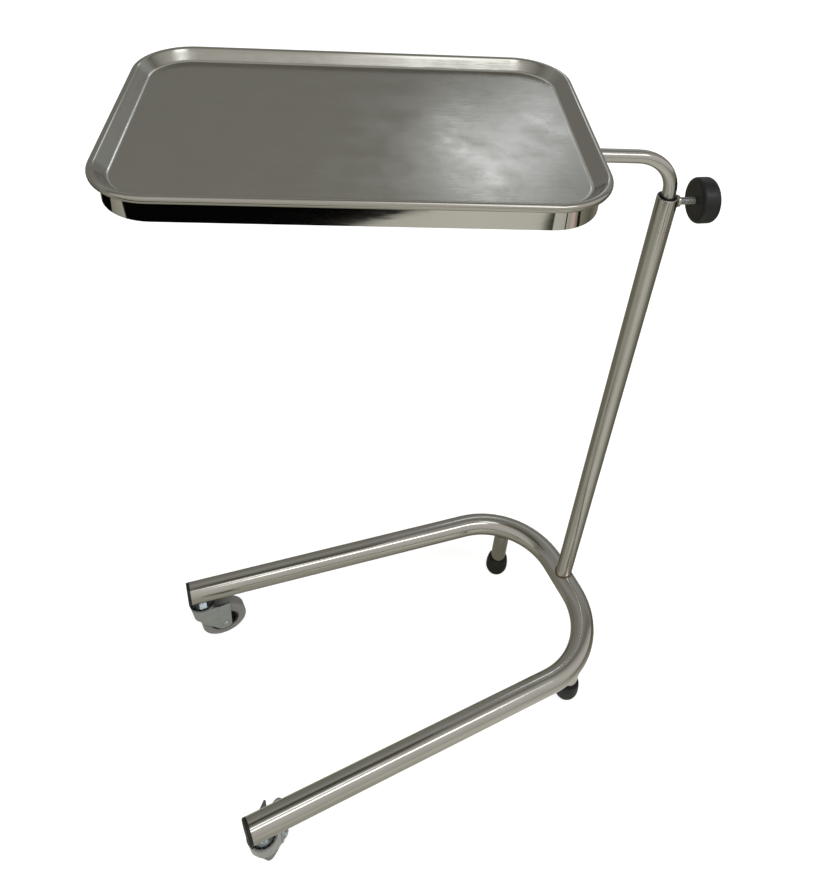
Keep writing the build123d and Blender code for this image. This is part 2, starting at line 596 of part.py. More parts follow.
# Casters
for name, side, trail_azimuth in (("left", 1, TRAIL_LEFT), ("right", -1, TRAIL_RIGHT)):
    stem_x, stem_y = caster_point(side)
    trail_x, trail_y, _ = bearing(trail_azimuth)
    stem_axis = Axis((stem_x, stem_y, 0), (0, 0, 1))
    hub_x = stem_x + TRAIL * trail_x
    hub_y = stem_y + TRAIL * trail_y
    trail_dir = (trail_x, trail_y, 0)
    axle_dir = (trail_y, -trail_x, 0)
    hub_plane = Plane(origin=(hub_x, hub_y, WHEEL_R), x_dir=trail_dir, z_dir=axle_dir)
    ball_ring = Plane(origin=(stem_x, stem_y, BALL_Z), x_dir=trail_dir, z_dir=(0, 0, 1))
    stem_radial = Plane(origin=(stem_x, stem_y, 0), x_dir=trail_dir, z_dir=axle_dir)

    # Nut fixed inside the leg, into which the stem screws
    with BuildPart() as stem_nut:
        with BuildSketch(Plane(origin=(stem_x, stem_y, INSERT_BOTTOM_Z))):
            Circle(INSERT_NUT_D / 2)
            Circle(STEM_R, mode=Mode.SUBTRACT)
        extrude(amount=INSERT_NUT_H)
    publish(stem_nut, f"stem_nut_{name}")

    # Stem with its hexagon, fixed upper race, kingpin and riveted flange
    with BuildPart() as caster_stem:
        with BuildSketch(Plane(origin=(stem_x, stem_y, HEX_BOTTOM_Z))):
            Circle(STEM_R)
        extrude(amount=STEM_TOP_Z - HEX_BOTTOM_Z)
        thread_end = caster_stem.faces().sort_by(Axis.Z)[-1]
        chamfer(thread_end.edges(), length=STEM_TOP_CHAMFER)
        with BuildSketch(Plane(origin=(stem_x, stem_y, HEX_BOTTOM_Z))):
            RegularPolygon(HEX_AF / 2, side_count=HEX_SIDES, major_radius=False)
        extrude(amount=HEX_H)
        with BuildSketch(Plane(origin=(stem_x, stem_y, RACE_BOTTOM_Z))):
            Circle(RACE_D / 2)
        extrude(amount=RACE_T)
        with BuildSketch(stem_radial):
            with Locations((BALL_CIRCLE_D / 2, BALL_Z)):
                Circle(GROOVE_R)
        revolve(axis=stem_axis, mode=Mode.SUBTRACT)
        with BuildSketch(Plane(origin=(stem_x, stem_y, KINGPIN_BOTTOM_Z))):
            Circle(KINGPIN_R)
        extrude(amount=RACE_BOTTOM_Z - KINGPIN_BOTTOM_Z)
        with BuildSketch(Plane(origin=(stem_x, stem_y, KINGPIN_BOTTOM_Z))):
            Circle(KINGPIN_FLANGE_D / 2)
        extrude(amount=KINGPIN_FLANGE_T)
        with BuildSketch(Plane(origin=(stem_x, stem_y, KINGPIN_BOTTOM_Z))):
            Circle(KINGPIN_R / 2)
        extrude(amount=KINGPIN_FLANGE_T / 2, mode=Mode.SUBTRACT)
    publish(caster_stem, f"caster_stem_{name}")

    # Ring of loose balls between the two races
    with BuildPart() as race_balls:
        with Locations(ball_ring):
            with PolarLocations(BALL_CIRCLE_D / 2, BALL_COUNT):
                Sphere(BALL_R)
    publish(race_balls, f"race_balls_{name}")

    # Fork: a dished crown, a funnel-shaped skirt that becomes the two legs, and a raised pad on each leg
    hub_plane_back = Plane(hub_plane.origin, x_dir=hub_plane.x_dir, z_dir=-hub_plane.z_dir)
    top_plane = Plane(origin=(stem_x, stem_y, CROWN_BOTTOM_Z), x_dir=trail_dir, z_dir=(0, 0, 1))
    low_plane = top_plane.offset(SKIRT_BOTTOM_Z - CROWN_BOTTOM_Z)
    top_length = SKIRT_R + SKIRT_REAR
    low_length = SKIRT_FRONT + SKIRT_REAR
    with BuildPart() as caster_fork:
        with BuildSketch(top_plane):
            with Locations((SKIRT_REAR - top_length / 2, 0)):
                RectangleRounded(top_length, 2 * LEG_HALF_W, SKIRT_TOP_CORNER_R)
        with BuildSketch(low_plane):
            with Locations((SKIRT_REAR - low_length / 2, 0)):
                RectangleRounded(low_length, 2 * LEG_HALF_W, SKIRT_LOW_CORNER_R)
        loft()
        with BuildSketch(top_plane):
            with Locations((SKIRT_REAR - top_length / 2, 0)):
                RectangleRounded(top_length - 2 * FORK_T, FORK_INNER_W, SKIRT_TOP_CORNER_R - FORK_T)
        with BuildSketch(low_plane):
            with Locations((SKIRT_REAR - low_length / 2, 0)):
                RectangleRounded(low_length - 2 * FORK_T, FORK_INNER_W, SKIRT_LOW_CORNER_R - FORK_T)
        loft(mode=Mode.SUBTRACT)
        for turned in (hub_plane, hub_plane_back):
            with BuildSketch(turned.offset(LEG_HALF_W)):
                Rectangle(2 * LEG_EYE_R, 2 * (CROWN_BOTTOM_Z - WHEEL_R))
            extrude(amount=LEG_PAD_T)
        with BuildSketch(stem_radial) as side_profile:
            with BuildLine():
                Polyline(
                    (-2 * SKIRT_R, CROWN_BOTTOM_Z + FORK_T),
                    (-2 * SKIRT_R, SKIRT_FRONT_Z),
                    (-SKIRT_FRONT, SKIRT_FRONT_Z),
                    (TRAIL - LEG_EYE_R, WHEEL_R - LEG_EYE_R),
                    (TRAIL + LEG_EYE_R, WHEEL_R - LEG_EYE_R),
                    (TRAIL + LEG_EYE_R, CROWN_BOTTOM_Z + FORK_T),
                    close=True,
                )
            make_face()
            fillet(side_profile.vertices().group_by(Axis.Y)[0], radius=LEG_EYE_R - CUT_EXTRA)
        extrude(amount=2 * LEG_HALF_W, both=True, mode=Mode.INTERSECT)
        with BuildSketch(stem_radial):
            with BuildLine():
                Polyline(
                    (0, CROWN_BOTTOM_Z),
                    (DISH_FLOOR_D / 2 + FORK_T, CROWN_BOTTOM_Z),
                    (DISH_D / 2, DISH_LIP_Z - FORK_T),
                    (DISH_D / 2, DISH_LIP_Z),
                    (DISH_D / 2 - FORK_T, DISH_LIP_Z),
                    (DISH_FLOOR_D / 2, DISH_FLOOR_Z),
                    (0, DISH_FLOOR_Z),
                    close=True,
                )
            make_face()
        revolve(axis=stem_axis)
        with BuildSketch(stem_radial):
            with Locations((BALL_CIRCLE_D / 2, BALL_Z)):
                Circle(GROOVE_R)
        revolve(axis=stem_axis, mode=Mode.SUBTRACT)
        with BuildSketch(top_plane):
            Circle(KINGPIN_R + RUN_CLEARANCE)
        extrude(amount=2 * FORK_T, both=True, mode=Mode.SUBTRACT)
        with BuildSketch(hub_plane):
            Circle(AXLE_R)
        extrude(amount=2 * LEG_FACE, both=True, mode=Mode.SUBTRACT)
    publish(caster_fork, f"caster_fork_{name}")

    # Axle with a rounded rivet head outside each leg
    with BuildPart() as caster_axle:
        with BuildSketch(hub_plane):
            Circle(AXLE_R)
        extrude(amount=LEG_FACE + AXLE_HEAD_T, both=True)
        for turned in (hub_plane, hub_plane_back):
            with BuildSketch(turned.offset(LEG_FACE)):
                Circle(AXLE_HEAD_D / 2)
            extrude(amount=AXLE_HEAD_T)
            outside = caster_axle.faces().sort_by(Axis(turned.origin, turned.z_dir))[-1]
            fillet(outside.edges(), radius=AXLE_HEAD_FILLET)
    publish(caster_axle, f"caster_axle_{name}")

    # Hub with a boss, a pierced web and a rim
    with BuildPart() as wheel_hub:
        with BuildSketch(hub_plane):
            Circle(TYRE_BED_D / 2)
        extrude(amount=HUB_RIM_W / 2, both=True)
        for turned in (hub_plane, hub_plane_back):
            with BuildSketch(turned.offset(HUB_WEB_T / 2)):
                Circle(TYRE_BED_D / 2 - HUB_RIM_T)
                Circle(HUB_BOSS_D / 2, mode=Mode.SUBTRACT)
            extrude(amount=HUB_RIM_W, mode=Mode.SUBTRACT)
        with BuildSketch(hub_plane):
            Circle(HUB_BOSS_D / 2)
        extrude(amount=FORK_INNER_W / 2 - SIDE_CLEARANCE, both=True)
        with BuildSketch(hub_plane):
            with PolarLocations((TYRE_BED_D / 2 - HUB_RIM_T + HUB_BOSS_D / 2) / 2, HUB_SPOKE_COUNT):
                Circle(HUB_HOLE_D / 2)
            Circle(AXLE_R + RUN_CLEARANCE)
        extrude(amount=FORK_INNER_W, both=True, mode=Mode.SUBTRACT)
    publish(wheel_hub, f"wheel_hub_{name}")

    # Tyre moulded round the hub's rim
    with BuildPart() as tyre:
        with BuildSketch(hub_plane):
            Circle(WHEEL_R)
        extrude(amount=TYRE_W / 2, both=True)
        fillet(tyre.edges().filter_by(GeomType.CIRCLE), radius=TYRE_FILLET)
        with BuildSketch(hub_plane):
            Circle(TYRE_BED_D / 2)
        extrude(amount=TYRE_W, both=True, mode=Mode.SUBTRACT)
    publish(tyre, f"tyre_{name}")
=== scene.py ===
"""Looks for the instrument stand: polished tube, a brushed tray in a mirror-polished ring, zinc casters.

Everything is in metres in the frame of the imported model. Patterns are worked out in real millimetres.
"""
import math

import bpy
from mathutils import Matrix, Vector


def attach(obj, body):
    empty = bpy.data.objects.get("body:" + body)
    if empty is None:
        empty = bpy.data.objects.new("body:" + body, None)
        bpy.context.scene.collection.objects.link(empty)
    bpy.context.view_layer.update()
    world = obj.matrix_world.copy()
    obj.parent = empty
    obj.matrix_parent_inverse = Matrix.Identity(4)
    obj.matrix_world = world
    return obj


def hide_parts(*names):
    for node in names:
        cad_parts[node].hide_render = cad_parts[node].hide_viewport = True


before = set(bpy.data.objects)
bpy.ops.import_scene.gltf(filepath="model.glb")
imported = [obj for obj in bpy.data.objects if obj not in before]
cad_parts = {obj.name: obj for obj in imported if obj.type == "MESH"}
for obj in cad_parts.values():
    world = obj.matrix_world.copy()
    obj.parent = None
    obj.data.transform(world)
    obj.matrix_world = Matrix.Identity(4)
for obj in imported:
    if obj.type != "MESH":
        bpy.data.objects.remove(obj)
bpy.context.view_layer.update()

MM = 0.001

# Places and sizes of the stand, in millimetres
MAST_X = 247.4
MAST_Y = -66.2
MAST_R = 11.1
BASE_Z = 110.0
TUBE_R = 15.9
BEND_R = 106.0
CORNER_Y = 124.3
SPLAY = 4.2
FOOT_ANGLE = 51.5
ARM_AZIMUTH = 159.9
ROD_R = 7.0
ROD_Z = 816.02
RING_INSET = 8.8
RING_T = 3.0
TRAY_LENGTH = 450.0
TRAY_WIDTH = 300.0
TRAY_CORNER_R = 58.0
TRAY_REACH = 320.0
TRAY_FLOOR_INSET = 16.66
BEAD_D = 8.0
CLAMP_AZIMUTH = -14.5
CLAMP_Z = 764.72
BOSS_R = 6.0
STUD_R = 4.0
STUD_START = 9.06
STUD_END = 43.6
STUD_PITCH = 1.25
THREAD_DEPTH = 0.65

# Weld beads, in millimetres: width, ripple spacing, and the patch where the rod meets the ring
WELD_W = 3.2
WELD_STEP = 1.0
SMALL_WELD_W = 2.0
SMALL_WELD_STEP = 0.8
RING_WELD_PAST = 0.4
RING_WELD_HALF = 3.9
WELD_SCALE_SHAPE = (1.0, 0.62, 0.55)
SEAM_POINTS = 96
BOSS_POINTS = 64

# Patterns in the materials, in millimetres: a line's length and width, or the size of a patch
TUBE_LINE = (90, 1.2)
ROD_LINE = (70, 1.0)
TUBE_CLOUD = 45
BRUSH_LINE = (90, 0.7, 0.7)
BRUSH_DASH = (16, 1.3, 1.3)
TRAY_CLOUD = 38
BRUSH_START = BEAD_D - 0.5
BRUSH_FULL = BEAD_D + 1.5
FOLD_EDGE = 1.1
FOLD_CORE = 0.3
BAR_RIPPLE = (60, 60, 18)
BAR_LINE = (20, 20, 0.5)
ZINC_SPANGLE = 2.2
ZINC_CLOUD = 7
WORN_PATCH = 14
TOOL_MARK = 0.6
HEAT_PATCH = 3

# The photograph's camera: place in metres, turn in degrees, focal length and optical centre in pixels
PHOTO_W = 820
PHOTO_H = 894
CAMERA_AT = (-0.3169, -0.6562, 1.2359)
CAMERA_YAW = 65.135
CAMERA_PITCH = -37.112
CAMERA_ROLL = 3.908
FOCAL_PX = 880.7
CENTRE_PX = (403.0, 272.0)
SENSOR_MM = 36.0


def linear(hex_colour):
    """Linear RGBA of an sRGB hex colour."""
    parts = [int(hex_colour[i : i + 2], 16) / 255 for i in (1, 3, 5)]
    turned = [c / 12.92 if c <= 0.04045 else ((c + 0.055) / 1.055) ** 2.4 for c in parts]
    return (*turned, 1.0)


def bearing(azimuth, reach=1.0):
    """Plan vector of a given length at an azimuth from +X."""
    return Vector((reach * math.cos(math.radians(azimuth)), reach * math.sin(math.radians(azimuth)), 0))


def add(tree, kind, inputs=None, **settings):
    """Add a node with its settings, and link or set its inputs."""
    made = tree.nodes.new(kind)
    for name, value in settings.items():
        setattr(made, name, value)
    for key, value in (inputs or {}).items():
        socket = made.inputs[key]
        if isinstance(value, bpy.types.NodeSocket):
            tree.links.new(value, socket)
        else:
            socket.default_value = value
    return made


# Camera
def make_camera():
    """The photograph's camera, with its optical axis off the middle of the frame as the crop left it."""
    yaw, pitch, roll = (math.radians(a) for a in (CAMERA_YAW, CAMERA_PITCH, CAMERA_ROLL))
    ahead = Vector((math.cos(yaw) * math.cos(pitch), math.sin(yaw) * math.cos(pitch), math.sin(pitch)))
    level = Vector((math.sin(yaw), -math.cos(yaw), 0))
    upright = level.cross(ahead)
    right = level * math.cos(roll) + upright * math.sin(roll)
    up = upright * math.cos(roll) - level * math.sin(roll)
    data = bpy.data.cameras.new("photo_camera")
    data.sensor_fit = "HORIZONTAL"
    data.sensor_width = SENSOR_MM
    data.lens = FOCAL_PX * SENSOR_MM / PHOTO_W
    data.shift_x = (PHOTO_W / 2 - CENTRE_PX[0]) / PHOTO_W
    data.shift_y = (CENTRE_PX[1] - PHOTO_H / 2) / PHOTO_W
    data.clip_end = 60
    camera = bpy.data.objects.new("photo_camera", data)
    camera.matrix_world = Matrix.Translation(CAMERA_AT) @ Matrix((right, up, -ahead)).transposed().to_4x4()
    bpy.context.scene.collection.objects.link(camera)
    bpy.context.scene.camera = camera


make_camera()


# Studio
def card(name, centre, size, facing, colour, strength=1.0, soft=0.25, turn=0.0):
    """Flat soft-edged card that only reflections see: white cards are lit panels, black ones are flags."""
    mesh = bpy.data.meshes.new(name)
    mesh.from_pydata([(-1, -1, 0), (1, -1, 0), (1, 1, 0), (-1, 1, 0)], [], [(0, 1, 2, 3)])
    made = bpy.data.objects.new(name, mesh)
    made.location = centre
    made.rotation_euler = Vector(facing).to_track_quat("Z", "Y").to_euler()
    made.rotation_euler.rotate_axis("Z", math.radians(turn))
    made.scale = (size[0] / 2, size[1] / 2, 1)
    bpy.context.scene.collection.objects.link(made)
    finish = bpy.data.materials.new(name)
    finish.use_nodes = True
    tree = finish.node_tree
    tree.nodes.clear()
    place = add(tree, "ShaderNodeTexCoord")
    folded = add(tree, "ShaderNodeVectorMath", {0: place.outputs["Object"]}, operation="ABSOLUTE")
    parts = add(tree, "ShaderNodeSeparateXYZ", {0: folded.outputs[0]})
    fades = [add(tree, "ShaderNodeMapRange", {"Value": parts.outputs[axis], "From Min": 1.0,
                                              "From Max": 1.0 - soft},
                 interpolation_type="SMOOTHSTEP").outputs[0] for axis in ("X", "Y")]
    mask = add(tree, "ShaderNodeMath", {0: fades[0], 1: fades[1]}, operation="MULTIPLY")
    glow = add(tree, "ShaderNodeEmission", {"Color": linear(colour), "Strength": strength})
    clear = add(tree, "ShaderNodeBsdfTransparent")
    mixed = add(tree, "ShaderNodeMixShader", {0: mask.outputs[0], 1: clear.outputs[0], 2: glow.outputs[0]})
    add(tree, "ShaderNodeOutputMaterial", {"Surface": mixed.outputs[0]})
    mesh.materials.append(finish)
    made.visible_camera = False
    made.visible_diffuse = False
    made.visible_shadow = False
    made.visible_transmission = False
    return made


def lamp(name, centre, aim, size, power, colour="#ffffff"):
    """Soft rectangular lamp aimed at a point."""
    data = bpy.data.lights.new(name, "AREA")
    data.shape = "RECTANGLE"
    data.size, data.size_y = size
    data.energy = power
    data.color = linear(colour)[:3]
    made = bpy.data.objects.new(name, data)
    made.location = centre
    made.rotation_euler = (Vector(aim) - Vector(centre)).to_track_quat("-Z", "Y").to_euler()
    made.visible_glossy = False
    bpy.context.scene.collection.objects.link(made)


def fill_ramp(ramp, stops):
    """Set a colour ramp from (place, hex colour) pairs."""
    first, last = ramp.color_ramp.elements
    first.position, last.position = stops[0][0], stops[-1][0]
    first.color, last.color = linear(stops[0][1]), linear(stops[-1][1])
    for place, colour in stops[1:-1]:
        ramp.color_ramp.elements.new(place).color = linear(colour)


# The room in the metal, from the horizon ahead, over the top, to the horizon behind the camera
ROOM = ((0.0, "#8c8b88"), (0.12, "#8b8a86"), (0.19, "#94938e"), (0.27, "#a6a6a1"), (0.36, "#9a9994"),
        (0.43, "#7a7972"), (0.5, "#a3a29e"), (0.6, "#c9c7c3"), (0.75, "#dad6d2"), (0.95, "#c9c5c1"),
        (1.0, "#c4bfbb"))
# The floor in the metal, by the direction from the mast: one whole turn from -X by -Y, +X and +Y
FLOOR_ROUND_MAST = (
    (0.0, "#b4b2a8"), (0.064, "#aeaca2"), (0.122, "#c0beb4"), (0.194, "#dad9d0"), (0.278, "#c9c8c0"),
    (0.361, "#989689"), (0.472, "#686658"), (0.6, "#908e82"), (0.778, "#7e7c6e"), (0.911, "#848274"),
    (1.0, "#b4b2a8"))


def studio_world():
    """White to the eye, and in reflections a grey room with a pale wall behind the camera."""
    world = bpy.data.worlds.new("studio")
    bpy.context.scene.world = world
    world.use_nodes = True
    tree = world.node_tree
    tree.nodes.clear()
    direction = add(tree, "ShaderNodeTexCoord")
    parts = add(tree, "ShaderNodeSeparateXYZ", {0: direction.outputs["Generated"]})
    over = add(tree, "ShaderNodeMath", {0: parts.outputs["Z"], 1: parts.outputs["Y"]}, operation="ARCTAN2")
    share = add(tree, "ShaderNodeMapRange", {"Value": over.outputs[0], "From Max": math.pi})
    ramp = add(tree, "ShaderNodeValToRGB", {"Fac": share.outputs[0]})
    fill_ramp(ramp, ROOM)
    rays = add(tree, "ShaderNodeLightPath")
    seen = add(tree, "ShaderNodeMix", {"Factor": rays.outputs["Is Camera Ray"], "A": ramp.outputs["Color"],
                                       "B": (1, 1, 1, 1)}, data_type="RGBA")
    glow = add(tree, "ShaderNodeBackground", {"Color": seen.outputs["Result"], "Strength": 1.0})
    add(tree, "ShaderNodeOutputWorld", {"Surface": glow.outputs[0]})


def studio_floor():
    """Paper floor: white to the eye with the stand's own shadow, and in the metal toned round the mast."""
    mesh = bpy.data.meshes.new("paper_floor")
    reach = 9.0
    mesh.from_pydata([(-reach, -reach, 0), (reach, -reach, 0), (reach, reach, 0), (-reach, reach, 0)], [],
                     [(0, 1, 2, 3)])
    floor = bpy.data.objects.new("paper_floor", mesh)
    bpy.context.scene.collection.objects.link(floor)
    paper = bpy.data.materials.new("white_paper")
    paper.use_nodes = True
    tree = paper.node_tree
    tree.nodes.clear()
    rays = add(tree, "ShaderNodeLightPath")
    place = add(tree, "ShaderNodeTexCoord")
    lit = add(tree, "ShaderNodeBsdfDiffuse", {"Color": linear("#b9b6b2")})
    # The paper's own glow rises away from the stand, so that the backdrop is even where no lamp reaches
    away = add(tree, "ShaderNodeVectorMath", {0: place.outputs["Object"]}, operation="LENGTH")
    even = add(tree, "ShaderNodeMapRange", {"Value": away.outputs["Value"], "From Min": 0.6, "From Max": 2.4,
                                            "To Min": 0.83, "To Max": 1.0})
    soft = add(tree, "ShaderNodeBsdfDiffuse", {"Color": linear("#8f8f8f")})
    white = add(tree, "ShaderNodeEmission", {"Color": (1, 1, 1, 1), "Strength": even.outputs[0]})
    both = add(tree, "ShaderNodeAddShader", {0: soft.outputs[0], 1: white.outputs[0]})
    from_mast = add(tree, "ShaderNodeVectorMath", {0: place.outputs["Object"],
                                                   1: (MAST_X * MM, MAST_Y * MM, 0)}, operation="SUBTRACT")
    parts = add(tree, "ShaderNodeSeparateXYZ", {0: from_mast.outputs[0]})
    azimuth = add(tree, "ShaderNodeMath", {0: parts.outputs["Y"], 1: parts.outputs["X"]}, operation="ARCTAN2")
    share = add(tree, "ShaderNodeMapRange", {"Value": azimuth.outputs[0], "From Min": -math.pi,
                                             "From Max": math.pi})
    ramp = add(tree, "ShaderNodeValToRGB", {"Fac": share.outputs[0]})
    fill_ramp(ramp, FLOOR_ROUND_MAST)
    pale = add(tree, "ShaderNodeEmission", {"Color": ramp.outputs["Color"], "Strength": 1.0})
    mirrored = add(tree, "ShaderNodeMixShader", {0: rays.outputs["Is Glossy Ray"], 1: lit.outputs[0],
                                                 2: pale.outputs[0]})
    shown = add(tree, "ShaderNodeMixShader", {0: rays.outputs["Is Camera Ray"], 1: mirrored.outputs[0],
                                              2: both.outputs[0]})
    add(tree, "ShaderNodeOutputMaterial", {"Surface": shown.outputs[0]})
    mesh.materials.append(paper)


studio_world()
studio_floor()
# Lamps: place, aim and size in metres, then power in watts
lamp("overhead_softbox", (-0.4, -0.5, 2.9), (0, 0, 0.4), (1.8, 1.4), 60)
lamp("left_softbox", (-2.3, 0.1, 1.7), (0, 0, 0.4), (0.9, 1.4), 34)
lamp("right_strip", (1.6, -1.6, 1.5), (0, 0, 0.5), (0.5, 1.6), 22)
DOWN = (0, 0, -1)
UP = (0, 0, 1)
TO_TRAY = (-0.43, -0.75, -0.5)
# Cards: centre and size in metres, the way it faces, colour, strength, soft share of it, turn in degrees
card("ceiling_light", (0.75, -2.1, 3.5), (2.3, 0.75), DOWN, "#ffffff", 4.5, 0.5)
card("ceiling_panel", (0.15, -0.8, 3.2), (1.2, 0.7), DOWN, "#f2f4f6", 2.6, 0.7)
card("far_window", (1.75, 1.75, 2.2), (2.2, 1.9), (-0.7, -0.6, -0.3), "#f0f3f6", 0.5, 0.7)
card("window_gap", (1.13, 1.82, 2.09), (0.62, 0.2), TO_TRAY, "#f4f8ff", 2.0, 0.6, 33)
card("upper_window_gap", (1.32, 1.79, 1.93), (0.36, 0.15), TO_TRAY, "#f4f8ff", 2.0, 0.6, 20)
card("left_flag", (-1.29, -0.93, 0.02), (2.0, 0.8), UP, "#060606", soft=0.05, turn=-46)
card("far_left_flag", (-1.2, 1.15, 0.02), (1.1, 1.05), UP, "#060606", soft=0.08)
card("near_mark", (0.02, -1.45, 0.03), (0.17, 0.7), UP, "#3d3c34", soft=0.3)
card("right_mark", (0.55, -1.32, 0.03), (0.07, 0.5), UP, "#3a3935", soft=0.3)
card("right_pink_mark", (0.84, -1.15, 0.03), (0.2, 0.5), UP, "#d8c2bd", soft=0.3)
card("right_brown_mark", (1.08, -0.98, 0.03), (0.13, 0.4), UP, "#301c18", soft=0.3)

bpy.context.scene.view_settings.view_transform = "Standard"


# Materials
def new_finish(name):
    """Empty material and its tree, with object coordinates in millimetres."""
    made = bpy.data.materials.new(name)
    made.use_nodes = True
    tree = made.node_tree
    tree.nodes.clear()
    place = add(tree, "ShaderNodeTexCoord")
    in_mm = add(tree, "ShaderNodeVectorMath", {0: place.outputs["Object"], "Scale": 1 / MM},
                operation="SCALE")
    return made, tree, in_mm.outputs[0]


def close(tree, surface):
    """Send a shader to the output."""
    add(tree, "ShaderNodeOutputMaterial", {"Surface": surface})


def stretched(tree, coords, azimuth, along, across, up):
    """Coordinates turned to an azimuth and divided by the pattern's real sizes in millimetres."""
    return add(tree, "ShaderNodeMapping", {"Vector": coords, "Rotation": (0, 0, -math.radians(azimuth)),
                                           "Scale": (1 / along, 1 / across, 1 / up)}).outputs[0]


def polished_tube(name, azimuth, along, across, up, colour, shade):
    """Stainless tube polished on a belt: bright, with faint long lines and a softly uneven sheen."""
    made, tree, coords = new_finish(name)
    lines = add(tree, "ShaderNodeTexNoise", {"Vector": stretched(tree, coords, azimuth, along, across, up),
                                             "Scale": 1.0, "Detail": 4.0, "Roughness": 0.6})
    cloud = add(tree, "ShaderNodeTexNoise", {"Vector": coords, "Scale": 1 / TUBE_CLOUD, "Detail": 2.0})
    tint = add(tree, "ShaderNodeMix", {"Factor": cloud.outputs["Fac"], "A": linear(colour),
                                       "B": linear(shade)}, data_type="RGBA")
    rough = add(tree, "ShaderNodeMapRange", {"Value": lines.outputs["Fac"], "From Min": 0.3, "From Max": 0.7,
                                             "To Min": 0.09, "To Max": 0.17})
    bump = add(tree, "ShaderNodeBump", {"Height": lines.outputs["Fac"], "Strength": 0.05,
                                        "Distance": 0.02 * MM})
    steel = add(tree, "ShaderNodeBsdfPrincipled", {"Base Color": tint.outputs["Result"], "Metallic": 1.0,
                                                   "Roughness": rough.outputs[0], "Normal": bump.outputs[0]})
    close(tree, steel.outputs[0])
    return made


def brushed_tray():
    """Stainless sheet brushed along its length, with a polished curled edge."""
    made, tree, coords = new_finish("brushed_stainless_tray")
    middle = Vector((MAST_X, MAST_Y, 0)) + bearing(ARM_AZIMUTH, TRAY_REACH)
    centred = add(tree, "ShaderNodeVectorMath", {0: coords, 1: (*middle.xy, 0)}, operation="SUBTRACT")
    turned = add(tree, "ShaderNodeMapping", {"Vector": centred.outputs[0],
                                             "Rotation": (0, 0, -math.radians(ARM_AZIMUTH))}).outputs[0]
    # Distance in from the outer edge of the rounded rectangle
    flat = add(tree, "ShaderNodeVectorMath", {0: turned, 1: (1, 1, 0)}, operation="MULTIPLY")
    folded = add(tree, "ShaderNodeVectorMath", {0: flat.outputs[0]}, operation="ABSOLUTE")
    core = (TRAY_LENGTH / 2 - TRAY_CORNER_R, TRAY_WIDTH / 2 - TRAY_CORNER_R, 0)
    past = add(tree, "ShaderNodeVectorMath", {0: folded.outputs[0], 1: core}, operation="SUBTRACT")
    outside = add(tree, "ShaderNodeVectorMath", {0: past.outputs[0], 1: (0, 0, 0)}, operation="MAXIMUM")
    far = add(tree, "ShaderNodeVectorMath", {0: outside.outputs[0]}, operation="LENGTH")
    inset = add(tree, "ShaderNodeMath", {0: TRAY_CORNER_R, 1: far.outputs["Value"]}, operation="SUBTRACT")
    # Brush lines 0.25 mm apart are drawn at about 0.7 mm so that they show
    grain_at = add(tree, "ShaderNodeVectorMath", {0: turned, 1: tuple(1 / size for size in BRUSH_LINE)},
                   operation="MULTIPLY").outputs[0]
    grain = add(tree, "ShaderNodeTexNoise", {"Vector": grain_at, "Scale": 1.0, "Detail": 4.0,
                                             "Roughness": 0.6})
    # Short dashes where the belt lifted, and soft hand-sized clouds of finer and coarser brushing
    dash_at = add(tree, "ShaderNodeVectorMath", {0: turned, 1: tuple(1 / size for size in BRUSH_DASH)},
                  operation="MULTIPLY").outputs[0]
    dashes = add(tree, "ShaderNodeTexNoise", {"Vector": dash_at, "Scale": 1.0, "Detail": 3.0,
                                              "Roughness": 0.6})
    cloud = add(tree, "ShaderNodeTexNoise", {"Vector": turned, "Scale": 1 / TRAY_CLOUD, "Detail": 3.0,
                                             "Roughness": 0.6})
    tint = add(tree, "ShaderNodeMapRange", {"Value": grain.outputs["Fac"], "From Min": 0.3, "From Max": 0.7,
                                            "To Min": 0.2, "To Max": 0.8})
    steel_colour = add(tree, "ShaderNodeMix", {"Factor": tint.outputs[0], "A": linear("#b4b2aa"),
                                               "B": linear("#bebcb4")}, data_type="RGBA")
    # Painted highlight: a narrow near-white band along the fold where the wall meets the floor, standing in
    # for the glint on its bend
    fold_gap = add(tree, "ShaderNodeMath", {0: inset.outputs[0], 1: TRAY_FLOOR_INSET}, operation="SUBTRACT")
    fold_away = add(tree, "ShaderNodeMath", {0: fold_gap.outputs[0]}, operation="ABSOLUTE")
    fold_highlight_mask = add(tree, "ShaderNodeMapRange", {"Value": fold_away.outputs[0], "From Min": FOLD_EDGE,
                                            "From Max": FOLD_CORE})
    painted_fold_highlight = add(tree, "ShaderNodeMix", {"Factor": fold_highlight_mask.outputs[0], "A": steel_colour.outputs["Result"],
                                         "B": linear("#f2f1ec")}, data_type="RGBA")
    brushed = add(tree, "ShaderNodeMapRange", {"Value": inset.outputs[0], "From Min": BRUSH_START,
                                               "From Max": BRUSH_FULL})
    cloud_rough = add(tree, "ShaderNodeMapRange", {"Value": cloud.outputs["Fac"], "From Min": 0.35,
                                                   "From Max": 0.65, "To Min": 0.12, "To Max": 0.24})
    rough = add(tree, "ShaderNodeMix", {"Factor": brushed.outputs[0], "A": 0.1, "B": cloud_rough.outputs[0]},
                data_type="FLOAT")
    lines = add(tree, "ShaderNodeBump", {"Height": grain.outputs["Fac"], "Strength": brushed.outputs[0],
                                         "Distance": 0.006 * MM})
    bump = add(tree, "ShaderNodeBump", {"Height": dashes.outputs["Fac"], "Strength": brushed.outputs[0],
                                        "Distance": 0.05 * MM, "Normal": lines.outputs[0]})
    along = add(tree, "ShaderNodeVectorTransform", {"Vector": bearing(ARM_AZIMUTH)}, vector_type="VECTOR",
                convert_from="OBJECT", convert_to="WORLD")
    steel = add(tree, "ShaderNodeBsdfPrincipled", {
        "Base Color": painted_fold_highlight.outputs["Result"], "Metallic": 1.0, "Roughness": rough.outputs["Result"],
        "Normal": bump.outputs[0], "Anisotropic": 0.75, "Tangent": along.outputs[0]})
    close(tree, steel.outputs[0])
    return made


